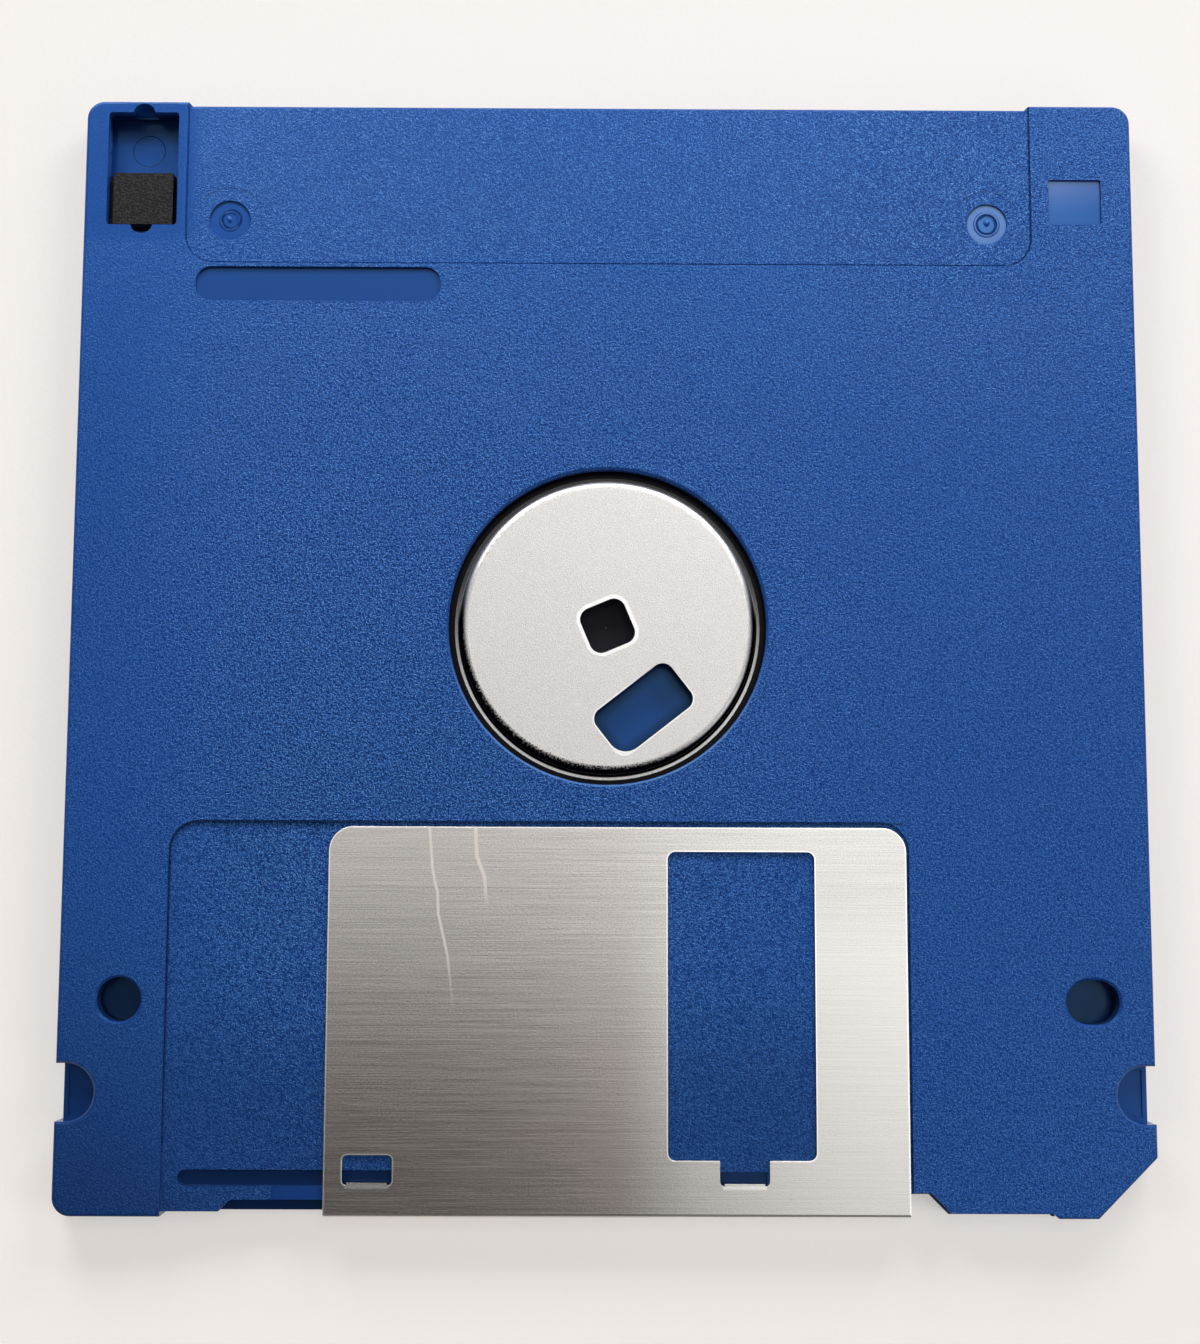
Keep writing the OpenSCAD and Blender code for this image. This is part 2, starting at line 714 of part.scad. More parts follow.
module hub_side_shell() {
    color([0.07, 0.24, 0.56]) difference() {
        cut(mid_z, case_t) difference() {
            case_blank();
            front_waste(bay_inset, ledge_inset, lever_inset, right_inset);
        }
        translate([0, 0, case_t]) edge_waste();
        inside(mid_z - eps, ceiling_z);
        cut(mid_z - eps, mid_z + arm_gap_h / 2) arm_gap();
        cut(mid_z - eps, protect_lip_z) protect_pocket();
        cut(mid_z - eps, case_t + far) {
            translate([0, spindle_y]) circle(opening_r);
            head_window();
            protect_opening();
            at_notches() side_notch();
            locate_holes();
        }
        translate([0, spindle_y, case_t - lead_in]) cylinder(lead_in + eps, opening_r, opening_r + lead_in);
        translate([0, 0, case_t - lead_in]) {
            locate_lead_in();
            notch_lead_in();
        }
        sink_top(bay_depth) bay();
        sink_top(bay_depth + groove_depth) groove();
        sink_top(bay_depth + sunk_strip_depth) sunk_strip();
        sink_top(label_depth) label_field(hub_label_l);
        sink_top(field_depth) {
            translate([plate_field_from_side + plate_field_l / 2 - side_x, back_y - plate_field_from_back])
                round_rect(plate_field_l, plate_field_w, plate_field_r);
            translate([side_x - square_field_from_side, back_y - square_field_from_back])
                round_rect(square_field_w, square_field_l, square_field_r);
        }
        translate([-gate_x, back_y - gate_from_back]) gate_pit(gate_ring_r);
        translate([gate_x, back_y - gate_from_back]) gate_pit(gate_crater_r);
        for (at = WELD_POSTS)
            translate([at[0], at[1], mid_z - eps])
                cylinder(weld_pin_h + weld_gap + eps, d = weld_pin_d + 2 * weld_gap);
    }
}

module label_side_shell() {
    color([0.07, 0.24, 0.56]) {
        difference() {
            cut(0, mid_z) difference() {
                case_blank();
                front_waste(sheet_t + shutter_gap, sheet_t + shutter_gap, lever_inset - front_lip,
                    right_inset - front_lip);
                at_notches() translate([-far, -notch_r]) square([far + notch_floor_inset, 2 * notch_r]);
            }
            mirror([0, 0, 1]) edge_waste();
            inside(floor_z, mid_z + eps);
            cut(mid_z - arm_gap_h / 2, mid_z + eps) arm_gap();
            cut(floor_z, mid_z + eps) {
                protect_pocket();
                locate_holes(lead_in);
            }
            cut(floor_z - floor_ring_depth, mid_z) translate([protect_x, floor_ring_y]) circle(floor_ring_r);
            cut(mid_z - notch_floor_sink, mid_z + eps) at_notches()
                intersection() {
                    side_notch(-notch_floor_rim);
                    translate([notch_floor_inset + notch_floor_rim, -notch_r]) square(2 * notch_r);
                }
            cut(floor_z - lifter_t, mid_z) lifter_place()
                round_rect(lifter_w + 2 * lifter_gap, lifter_l + 2 * lifter_gap, lifter_r + lifter_gap);
            cut(-far, mid_z + eps) {
                head_window();
                translate([protect_x, protect_tab_y]) round_rect(sense_hole, sense_hole, protect_r);
            }
            sink_bottom(bay_depth) bay();
            sink_bottom(bay_depth + groove_depth) groove();
            sink_bottom(label_depth) {
                label_field(back_label_l);
                translate([arrow_from_side - side_x, front_y + arrow_from_front])
                    polygon([[0, -arrow_l / 2], [arrow_l / 2, arrow_l / 2], [-arrow_l / 2, arrow_l / 2]]);
            }
        }
        for (at = WELD_POSTS)
            translate([at[0], at[1], mid_z - eps]) cylinder(weld_pin_h + eps, d = weld_pin_d);
    }
}

// One plate of the shutter as a flat sheet, seen from the hub side; it overlaps the fold's arm
module shutter_plate() {
    low_y = front_y + bend_r + fold_overlap;
    difference() {
        translate([shutter_left, low_y]) square([shutter_w, plate_top_y - low_y]);
        translate([shutter_left, plate_top_y]) rotate(-90) corner_waste(plate_corner_r);
        translate([shutter_right, plate_top_y]) rotate(180) corner_waste(plate_corner_r);
        translate([window_x, front_y + window_low + window_l / 2]) round_rect(window_w, window_l, window_r);
        translate([notch_mid_x, front_y + window_low])
            round_rect(tab_notch_w, 2 * (window_low - tab_notch_low), tab_notch_r);
        translate([small_window_x, tab_y + small_window_l / 2])
            round_rect(tab_notch_w, small_window_l, tab_notch_r);
    }
}

// The shutter's section across the fold: its back, both bends and a short arm of each plate
module fold_section() {
    reach = 4 * bend_r;
    arm_l = bend_r + 2 * fold_overlap;
    outer_h = 2 * plate_low_z + 2 * sheet_t - case_t;
    translate([0, mid_z]) difference() {
        translate([reach, 0]) round_rect(2 * reach, outer_h, bend_r);
        translate([reach, 0]) round_rect(2 * (reach - sheet_t), outer_h - 2 * sheet_t, fold_r);
        translate([arm_l, -case_t]) square([2 * reach, 2 * case_t]);
    }
}

module shutter() {
    plate_z = case_t - plate_low_z - sheet_t;
    color([0.74, 0.73, 0.70]) {
        for (side = [0, 1])
            translate([0, 0, side * case_t]) mirror([0, 0, side]) {
                cut(plate_z, plate_z + sheet_t) shutter_plate();
                for (x = [notch_mid_x, small_window_x])
                    translate([x - guide_tab_w / 2, tab_y - eps, plate_z])
                        cube([guide_tab_w, sheet_t + eps, sheet_t + guide_tab_h]);
            }
        difference() {
            translate([shutter_left, front_y, 0]) rotate([90, 0, 90]) linear_extrude(shutter_w) fold_section();
            translate([catch_x + sheet_t, front_y - eps, mid_z - catch_h / 2])
                cube([catch_l, sheet_t + 2 * eps, catch_h]);
        }
        translate([catch_x, front_y + eps, mid_z - catch_h / 2]) cube([sheet_t, sheet_t + catch_l, catch_h]);
    }
}

// The spring's wire runs from its resting arm through the coil to the moving arm, whose end is at the catch
module shutter_spring() {
    centre = [coil_x, front_y + coil_from_front];
    tip = [catch_x - wire_d / 2 - shutter_gap, catch_y];
    reach = tip - centre;
    end_a = atan2(reach[1], reach[0]) - 90 - asin(coil_r / norm(reach)) + 720;
    turn = end_a - rest_arm_dir;
    rise = coil_pitch * turn / 360;
    steps = 36;
    function on_coil(a) = [centre[0] + coil_r * cos(a), centre[1] + coil_r * sin(a),
        mid_z + rise * ((a - rest_arm_dir) / turn - 0.5)];
    first = on_coil(rest_arm_dir);
    last = on_coil(end_a);
    level = last + arm_level_share * ([tip[0], tip[1], mid_z] - last);
    path = concat(
        [first + rest_arm_l * [sin(rest_arm_dir), -cos(rest_arm_dir), 0]],
        [for (i = [0:steps]) on_coil(rest_arm_dir + turn * i / steps)],
        [[level[0], level[1], mid_z], [tip[0], tip[1], mid_z]]
    );
    color([0.75, 0.75, 0.77]) wire(path, wire_d / 2, 8);
}

// A round wire along a path, with flat ends
module wire(path, r, sides) {
    n = len(path);
    function unit(v) = v / norm(v);
    function ring(i) =
        let(
            ahead = unit(path[min(i + 1, n - 1)] - path[max(i - 1, 0)]),
            across = unit(cross([0, 0, 1], ahead)),
            upright = cross(ahead, across)
        )
        [for (k = [0:sides - 1])
            path[i] + r * (cos(360 * k / sides) * across + sin(360 * k / sides) * upright)];
    points = [for (i = [0:n - 1]) each ring(i)];
    walls = [for (i = [0:n - 2], k = [0:sides - 1])
        let(a = i * sides + k, b = i * sides + (k + 1) % sides)
        each [[a, a + sides, b], [b, a + sides, b + sides]]];
    ends = [[for (k = [0:sides - 1]) k], [for (k = [sides - 1:-1:0]) (n - 1) * sides + k]];
    polyhedron(points, concat(walls, ends));
}

module write_protect_tab() {
    foot_z = floor_z + protect_gap;
    color([0.05, 0.05, 0.055]) translate([protect_x, protect_tab_y]) {
        cut(foot_z, protect_lip_z - protect_gap)
            square([protect_pocket_w - 2 * protect_play, protect_tab_l], center = true);
        cut(foot_z, case_t - protect_tab_sink) round_rect(protect_tab_w, protect_tab_l, protect_r / 2);
    }
}

module magnetic_disk() {
    color([0.10, 0.085, 0.08]) translate([0, spindle_y]) cut(film_low_z, film_low_z + film_t) difference() {
        circle(d = film_d);
        circle(film_hole_r);
    }
}

// Half the section of the pressed hub: face, bend, wall, foot bend and flange, each overlapping the next
module hub_section() {
    wall_r = hub_d / 2;
    foot_r = wall_r - hub_sheet_t + hub_bend_r;
    module bend(at, turn, r) {
        translate(at) rotate(turn) intersection() {
            difference() {
                circle(r);
                circle(r - hub_sheet_t);
            }
            translate([-eps, -eps]) square(r + 2 * eps);
        }
    }
    translate([0, hub_face_z - hub_sheet_t]) square([wall_r - hub_rim_r, hub_sheet_t]);
    bend([wall_r - hub_rim_r, hub_face_z - hub_rim_r], 0, hub_rim_r);
    translate([wall_r - hub_sheet_t, flange_low_z + hub_bend_r])
        square([hub_sheet_t, hub_face_z - flange_low_z - hub_bend_r - hub_rim_r]);
    bend([foot_r, flange_low_z + hub_bend_r], 180, hub_bend_r);
    translate([foot_r, flange_low_z]) square([hub_flange_r - foot_r, hub_sheet_t]);
}

module hub() {
    color([0.83, 0.82, 0.80]) translate([0, spindle_y]) difference() {
        union() {
            rotate_extrude() hub_section();
            cut(hub_face_z - eps, hub_face_z + hub_lip_h) spindle_hole_shape(hub_lip_w);
        }
        cut(mid_z, case_t) {
            spindle_hole_shape();
            pin_hole_shape();
        }
    }
}

module hub_adhesive_ring() {
    color([0.55, 0.50, 0.38]) translate([0, spindle_y]) cut(flange_top_z, film_low_z) difference() {
        circle(hub_flange_r - adhesive_margin);
        circle(film_hole_r + adhesive_margin);
    }
}

// A wiping liner: a ring with a gap for the head window
module liner() {
    gap = head_window_w + 2 * liner_window_gap;
    difference() {
        circle(ring_in_r - liner_rim_gap);
        circle(liner_hole_r);
        translate([-gap / 2, -ring_in_r]) square([gap, ring_in_r]);
    }
}

module hub_side_liner() {
    color([0.88, 0.87, 0.84]) translate([0, spindle_y]) cut(ceiling_z - liner_t, ceiling_z) liner();
}

module label_side_liner() {
    color([0.88, 0.87, 0.84]) translate([0, spindle_y]) cut(floor_z, floor_z + liner_t) liner();
}

// Its children in the liner lifter's place, half way between the liner's hole and its rim
module lifter_place() {
    translate([-(liner_hole_r + ring_in_r) / 2, spindle_y]) children();
}

module liner_lifter() {
    color([0.80, 0.78, 0.66]) cut(floor_z - lifter_t, floor_z) lifter_place()
        round_rect(lifter_w, lifter_l, lifter_r);
}

module wear_pad() {
    color([0.04, 0.04, 0.045]) translate([0, spindle_y, floor_z]) cylinder(pad_t, d = pad_d);
}

hub_side_shell();
label_side_shell();
shutter();
shutter_spring();
write_protect_tab();
magnetic_disk();
hub();
hub_adhesive_ring();
hub_side_liner();
label_side_liner();
liner_lifter();
wear_pad();
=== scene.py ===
"""Looks of the flexible disk cartridge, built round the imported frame.

All lengths are metres in the part's frame: the case lies flat, hub side up, with its shutter end towards -Y.
"""

import bmesh
import bpy
import numpy as np
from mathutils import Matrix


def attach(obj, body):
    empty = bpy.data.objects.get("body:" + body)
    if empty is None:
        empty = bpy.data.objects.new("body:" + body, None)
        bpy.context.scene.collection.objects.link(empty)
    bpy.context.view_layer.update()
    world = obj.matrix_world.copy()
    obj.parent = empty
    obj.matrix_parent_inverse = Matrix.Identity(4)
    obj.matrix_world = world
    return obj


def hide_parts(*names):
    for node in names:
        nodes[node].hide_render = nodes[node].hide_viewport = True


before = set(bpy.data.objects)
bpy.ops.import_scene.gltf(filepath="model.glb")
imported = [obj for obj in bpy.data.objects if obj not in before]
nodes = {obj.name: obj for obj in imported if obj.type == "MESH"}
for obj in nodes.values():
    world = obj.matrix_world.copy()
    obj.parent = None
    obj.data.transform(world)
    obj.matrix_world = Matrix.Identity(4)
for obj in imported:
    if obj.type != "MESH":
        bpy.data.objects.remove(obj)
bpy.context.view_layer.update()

# Heights and places on the case

MM = 0.001
MIDDLE = (0.0, 0.0)
CASE_HALF = (45 * MM, 47 * MM)
CORNER = 2 * MM
TOP, LABEL_FLOOR, BAY_FLOOR = 3.3 * MM, 3.12 * MM, 2.95 * MM
LABEL_CORNER = 2.4 * MM
BAY_MIDDLE, BAY_HALF = (0.0, -37.5 * MM), (36.2 * MM, 22.5 * MM)
SPINDLE, SPINDLE_HOLE_TURN = (0.0, 1.5 * MM), 23
PIN_HOLE, PIN_HOLE_TURN, PIN_HOLE_HALF = (3.03 * MM, -5.47 * MM), 38, (4 * MM, 2.25 * MM)
LOCATING_HOLE = (40.04 * MM, -29.6 * MM)
GATE, LEFT_CRATER, NUB = (32.5 * MM, 36.4 * MM), (-32.36 * MM, 36.56 * MM), (32.52 * MM, 36.6 * MM)
TAB_DISC = (-40.07 * MM, 43.375 * MM)


# Shader arithmetic


class Value:
    """A shader socket that takes part in Python arithmetic; every operator adds one Math node."""

    def __init__(self, finish, socket):
        self.finish = finish
        self.socket = socket

    def math(self, operation, *numbers):
        return self.finish.node("Math", {"operation": operation}, dict(enumerate(numbers)))

    def __add__(self, other):
        return self.math("ADD", self, other)

    __radd__ = __add__

    def __sub__(self, other):
        return self.math("SUBTRACT", self, other)

    def __rsub__(self, other):
        return self.math("SUBTRACT", other, self)

    def __mul__(self, other):
        return self.math("MULTIPLY", self, other)

    __rmul__ = __mul__

    def __truediv__(self, other):
        return self.math("DIVIDE", self, other)

    def __rtruediv__(self, other):
        return self.math("DIVIDE", other, self)

    def __pow__(self, other):
        return self.math("POWER", self, other)

    def __abs__(self):
        return self.math("ABSOLUTE", self)

    def below(self, other):
        """The smaller of two values."""
        return self.math("MINIMUM", self, other)

    def above(self, other):
        """The larger of two values."""
        return self.math("MAXIMUM", self, other)

    def wave(self):
        """The sine of the value."""
        return self.math("SINE", self)

    def ease(self, low, high, start=0.0, end=1.0):
        """A smooth step from start, where the value is low, to end, where it is high."""
        return self.finish.node(
            "MapRange",
            {"interpolation_type": "SMOOTHSTEP", "clamp": True},
            {"Value": self, "From Min": low, "From Max": high, "To Min": start, "To Max": end},
        )

    def near(self, level, width):
        """One where the value is at the level, falling smoothly to zero at that width from it."""
        return abs(self - level).ease(0.0, width, 1.0, 0.0)


class Finish:
    """A node material, or the world, and the calls that add nodes to it."""

    def __init__(self, name, world=False):
        self.data = bpy.data.worlds.new(name) if world else bpy.data.materials.new(name)
        self.data.use_nodes = True
        self.tree = self.data.node_tree
        self.tree.nodes.clear()
        self.coordinates = None

    def node(self, kind, settings=None, inputs=None, output=0):
        """Adds a node of that kind, with its settings first and then its sockets' values or links."""
        made = self.tree.nodes.new("ShaderNode" + kind)
        for key, value in (settings or {}).items():
            setattr(made, key, value)
        for key, value in (inputs or {}).items():
            if isinstance(value, Value):
                self.tree.links.new(value.socket, made.inputs[key])
            else:
                made.inputs[key].default_value = value
        return Value(self, made.outputs[output]) if made.outputs else made

    def place(self):
        """The point on the piece, in metres."""
        if self.coordinates is None:
            self.coordinates = self.node("TexCoord", output="Object")
        return self.coordinates

    def axes(self, vector=None):
        """The three parts of a vector, or of the point on the piece."""
        source = vector or self.place()
        made = self.node("SeparateXYZ", inputs={0: source}).socket.node
        return [Value(self, made.outputs[i]) for i in range(3)]

    def shifted(self, offset=(0, 0, 0), turn=0.0, scale=(1, 1, 1)):
        """The point on the piece, moved, turned about Z and scaled."""
        return self.node(
            "Mapping",
            {"vector_type": "POINT"},
            {"Vector": self.place(), "Location": offset, "Rotation": (0, 0, turn), "Scale": scale},
        )

    def noise(self, size, detail=2.0, roughness=0.5, vector=None, distortion=0.0):
        """Cloudy noise between 0 and 1 whose lumps are about that many metres across."""
        return self.node(
            "TexNoise",
            inputs={
                "Vector": vector or self.place(),
                "Scale": 1 / size,
                "Detail": detail,
                "Roughness": roughness,
                "Distortion": distortion,
            },
        )

    def cells(self, size):
        """The distance inside round cells that are about that many metres apart."""
        inputs = {"Vector": self.place(), "Scale": 1 / size}
        return self.node("TexVoronoi", {"feature": "F1"}, inputs, "Distance")

    def blend(self, factor, first, second):
        """A colour between two colours."""
        return self.node("Mix", {"data_type": "RGBA"}, {0: factor, 6: first, 7: second}, 2)

    def bump(self, height, distance, normal=None):
        """A surface normal from a height between 0 and 1 that stands for that distance."""
        inputs = {"Height": height, "Distance": distance, "Strength": 1.0}
        if normal:
            inputs["Normal"] = normal
        return self.node("Bump", inputs=inputs)

    def surface(self, **inputs):
        """The Principled shader with those sockets, joined to the output."""
        named = {key.replace("_", " "): value for key, value in inputs.items()}
        shader = self.node("BsdfPrincipled", inputs=named)
        self.node("OutputMaterial", inputs={"Surface": shader})
        return self


def paint(name, finish):
    """Gives a CAD node or a piece its finish in every material slot."""
    obj = nodes[name] if isinstance(name, str) else name
    obj.data.materials.clear()
    obj.data.materials.append(finish.data)


# Pieces with softened edges


def mark_rounds(work, width, angle):
    """Marks the edges to round over: all that bend by more than the angle, but none that end in a tight corner.

    Those few stay sharp instead.
    """
    weight = work.edges.layers.float.new("bevel_weight_edge")
    bends = {edge for edge in work.edges if len(edge.link_faces) == 2 and edge.calc_face_angle() > angle}
    roomy = {}
    for vertex in {vertex for edge in bends for vertex in edge.verts}:
        here = [edge for edge in vertex.link_edges if edge in bends]
        ways = [edge.other_vert(vertex).co - vertex.co for edge in here]
        straight = len(ways) == 2 and ways[0].angle(ways[1]) > np.radians(150)
        roomy[vertex] = straight or min(way.length for way in ways) > 4 * width
    for edge in bends:
        edge.smooth = all(roomy[vertex] for vertex in edge.verts)
        edge[weight] = float(edge.smooth)


def keep_within(mesh, limits):
    """Moves the points of a mesh that stand outside another mesh's box onto that box."""
    points, box = np.empty(len(mesh.vertices) * 3), np.empty(len(limits.vertices) * 3)
    mesh.vertices.foreach_get("co", points)
    limits.vertices.foreach_get("co", box)
    box = box.reshape(-1, 3)
    mesh.vertices.foreach_set("co", np.clip(points.reshape(-1, 3), box.min(0), box.max(0)).ravel())
    mesh.update()


def even_normals(mesh):
    """Turns each corner's normal to the widest face at its point, so that flat faces stay flat beside the rounds.

    Only faces within 50 degrees of the corner's own count, and those within 12 degrees of the widest share in it.
    """
    count, corners = len(mesh.polygons), len(mesh.loops)
    normal, area, sizes = np.empty(count * 3), np.empty(count), np.empty(count, int)
    points = np.empty(corners, int)
    mesh.polygons.foreach_get("normal", normal)
    mesh.polygons.foreach_get("area", area)
    mesh.polygons.foreach_get("loop_total", sizes)
    mesh.loops.foreach_get("vertex_index", points)
    normal = normal.reshape(count, 3)
    owner = np.repeat(np.arange(count), sizes)
    around = [[] for _ in mesh.vertices]
    for face, point in zip(owner, points):
        around[point].append(face)
    near, alike = np.cos(np.radians((50, 12)))
    ways = np.empty((corners, 3))
    for corner, (face, point) in enumerate(zip(owner, points)):
        faces = np.array(around[point])
        faces = faces[normal[faces] @ normal[face] > near] if area[face] > 0 else faces
        widest = faces[np.argmax(area[faces])]
        group = faces[normal[faces] @ normal[widest] > alike]
        ways[corner] = area[group] @ normal[group]
    ways /= np.linalg.norm(ways, axis=1)[:, None]
    mesh.normals_split_custom_set(ways.tolist())


JOINED = 0.5e-6
FLAT_WITHIN = np.radians(0.3)
EDGE_ANGLE = np.radians(28.0)


def softened(node, body, slot, width):
    """A copy of a CAD node whose edges are rounded over, as moulding and stamping leave them.

    Its doubles are merged and its flat faces joined first, so that a round of the given width, in metres, runs along
    every edge where two faces meet at more than the edge angle.
    """
    mesh = nodes[node].data.copy()
    work = bmesh.new()
    work.from_mesh(mesh)
    bmesh.ops.remove_doubles(work, verts=work.verts, dist=JOINED)
    bmesh.ops.dissolve_limit(work, angle_limit=FLAT_WITHIN, verts=work.verts, edges=work.edges)
    for face in work.faces:
        face.smooth = True
    mark_rounds(work, width, EDGE_ANGLE)
    work.to_mesh(mesh)
    work.free()
    obj = bpy.data.objects.new(node + "_softened", mesh)
    bpy.context.scene.collection.objects.link(obj)
    edge = obj.modifiers.new("edge", "BEVEL")
    edge.width = width
    edge.segments = 2
    edge.limit_method = "WEIGHT"
    edge.use_clamp_overlap = False
    edge.miter_outer = "MITER_ARC"
    graph = bpy.context.evaluated_depsgraph_get()
    shape = bpy.data.meshes.new_from_object(obj.evaluated_get(graph))
    obj.modifiers.clear()
    obj.data = shape
    keep_within(shape, nodes[node].data)
    even_normals(shape)
    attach(obj, body)
    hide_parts(node)
    return obj


SOFTENED = {
    "hub_side_shell": ("case", "case_plastic", 0.05 * MM),
    "label_side_shell": ("case", "case_plastic", 0.05 * MM),
    "write_protect_tab": ("write_protect_tab", "tab_plastic", 0.06 * MM),
    "shutter": ("shutter", "shutter_steel", 0.03 * MM),
}
soft_pieces = {node: softened(node, *how) for node, how in SOFTENED.items()}


# Pieces computed from formulas


def piece(name, points, faces, body, node):
    """A smooth closed piece from arrays of points and faces, in place of a CAD node."""
    mesh = bpy.data.meshes.new(name)
    mesh.from_pydata(points.tolist(), [], [tuple(face) for face in faces])
    mesh.shade_smooth()
    mesh.set_sharp_from_angle(angle=np.radians(50))
    obj = bpy.data.objects.new(name, mesh)
    bpy.context.scene.collection.objects.link(obj)
    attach(obj, body)
    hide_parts(node)
    return obj


def spring_route():
    """The middle of the spring's wire: a resting arm, a coil and a moving arm, in metres.

    The coil turns a from -69 to 585.7 degrees about (-33.2, -37.4) mm as (1.9 cos a, 1.9 sin a), while z rises evenly
    by 0.78 mm about the mid-plane. Both arms leave it along its tangent; the moving one levels out on its way.
    """
    middle, radius, rise, mid_z = np.array([-33.2, -37.4]), 1.9, 0.782, 1.65
    turn = np.radians(np.linspace(-69.0, 585.7, 150))
    coil = np.stack(
        [
            middle[0] + radius * np.cos(turn),
            middle[1] + radius * np.sin(turn),
            np.linspace(mid_z - rise / 2, mid_z + rise / 2, len(turn)),
        ],
        axis=1,
    )
    back = np.array([np.sin(turn[0]), -np.cos(turn[0]), 0.0])
    resting = coil[0] + back * np.linspace(9.0, 0.3, 12)[:, None]
    tip = np.array([-21.2, -46.45, mid_z])
    share = np.linspace(0.0, 1.0, 30)[1:, None]
    moving = coil[-1] + (tip - coil[-1]) * share
    moving[:, 2] = mid_z + (rise / 2) * np.clip(1 - share[:, 0] / 0.4, 0, 1)
    return np.concatenate([resting, coil, moving]) * MM


def wire(name, route, radius, sides=14):
    """A round wire swept along a route: P(i, b) = route_i + radius (cos b across_i + sin b above_i).

    Across and above are carried along the route without twist, and each end is closed by a low dome.
    """
    ways = np.gradient(route, axis=0)
    ways /= np.linalg.norm(ways, axis=1)[:, None]
    across = np.cross(ways[0], [0, 0, 1])
    around = np.linspace(0, 2 * np.pi, sides, endpoint=False)
    rings = []
    for place, way in zip(route, ways):
        across = across - way * (across @ way)
        across /= np.linalg.norm(across)
        above = np.cross(across, way)
        spread = np.cos(around)[:, None] * across + np.sin(around)[:, None] * above
        rings.append((place, way, spread))
    first, last = rings[0], rings[-1]
    dome = [(1.0, 0.0), (0.8, 0.35), (0.4, 0.5)]
    loops = [first[0] - first[1] * radius * (rise - 0.5) + first[2] * radius * wide for wide, rise in dome[::-1]]
    loops += [place + spread * radius for place, _, spread in rings[1:-1]]
    loops += [last[0] + last[1] * radius * (rise - 0.5) + last[2] * radius * wide for wide, rise in dome]
    points = np.concatenate(loops)
    step = np.arange(sides)
    faces = []
    for i in range(len(loops) - 1):
        low, high = i * sides, (i + 1) * sides
        faces += [(low + k, high + k, high + (k + 1) % sides, low + (k + 1) % sides) for k in step]
    faces.append(tuple(step))
    faces.append(tuple((len(loops) - 1) * sides + step[::-1]))
    return piece(name, points, faces, "case", "shutter_spring")


def liner(name, node, low, high, pile):
    """A ring of fleece, open in front for the head, whose pile stands up a little unevenly on the film's side.

    P(r, t) = spindle + r (cos a, sin a), where a runs from one side of the 12 mm gap round to the other, and the
    pile's height is the sum of three short waves in r and a.
    """
    inner, outer, half_gap, rows, columns = 17.0 * MM, 42.58 * MM, 6.0 * MM, 48, 320
    radius = np.linspace(inner, outer, rows)[:, None]
    share = np.linspace(0.0, 1.0, columns)[None, :]
    side = np.arcsin(half_gap / radius)
    angle = -np.pi / 2 + side + share * (2 * np.pi - 2 * side)
    x, y = radius * np.cos(angle), SPINDLE[1] + radius * np.sin(angle)
    wave = np.sin(x * 2100 + 1.3 * np.sin(y * 900)) + np.sin(y * 2300 + 1.7 * np.sin(x * 700))
    wave += np.sin((x + y) * 3900)
    edge = np.minimum(np.minimum(radius - inner, outer - radius) / (0.8 * MM), 1.0)
    fluff = 0.03 * MM * (1 - edge * (0.5 + wave / 6))
    flat = np.full_like(x, high if pile < 0 else low)
    raised = low + fluff if pile < 0 else high - fluff
    under, over = (raised, flat) if pile < 0 else (flat, raised)
    points = np.concatenate([np.stack([x, y, z], axis=2).reshape(-1, 3) for z in (under, over)])
    index = np.arange(rows * columns).reshape(rows, columns)
    quads = np.stack([index[:-1, :-1], index[1:, :-1], index[1:, 1:], index[:-1, 1:]], axis=2).reshape(-1, 4)
    top = quads + rows * columns
    rim = np.concatenate([index[0, :], index[1:, -1], index[-1, -2::-1], index[-2:0:-1, 0]])
    after = np.roll(rim, -1)
    wall = np.stack([rim, rim + rows * columns, after + rows * columns, after], axis=1)
    faces = np.concatenate([quads[:, ::-1], top, wall]).tolist()
    obj = piece(name, points, faces, "case", node)
    return obj


spring = wire("shutter_spring_wire", spring_route(), 0.2 * MM)
fleeces = [
    liner("hub_side_fleece", "hub_side_liner", 2.0 * MM, 2.3 * MM, -1),
    liner("label_side_fleece", "label_side_liner", 1.0 * MM, 1.3 * MM, 1),
]


# Finishes


def away(x, y, middle):
    """The distance of (x, y) from the middle of a round feature."""
    aside, off = x - middle[0], y - middle[1]
    return ((aside * aside) + (off * off)) ** 0.5


def turned(f, middle, degrees):
    """The x and y of the point on the piece, seen from a middle and along axes turned by that angle."""
    angle = -np.radians(degrees)
    c, s = np.cos(angle), np.sin(angle)
    offset = (s * middle[1] - c * middle[0], -s * middle[0] - c * middle[1], 0)
    return f.axes(f.shifted(offset, angle))[:2]


def beyond_box(x, y, middle, half, corner):
    """How far (x, y) lies outside a box with round corners, negative inside it."""
    over_x = abs(x - middle[0]) - (half[0] - corner)
    over_y = abs(y - middle[1]) - (half[1] - corner)
    out_x, out_y = over_x.above(0.0), over_y.above(0.0)
    return ((out_x * out_x) + (out_y * out_y)) ** 0.5 + over_x.above(over_y).below(0.0) - corner


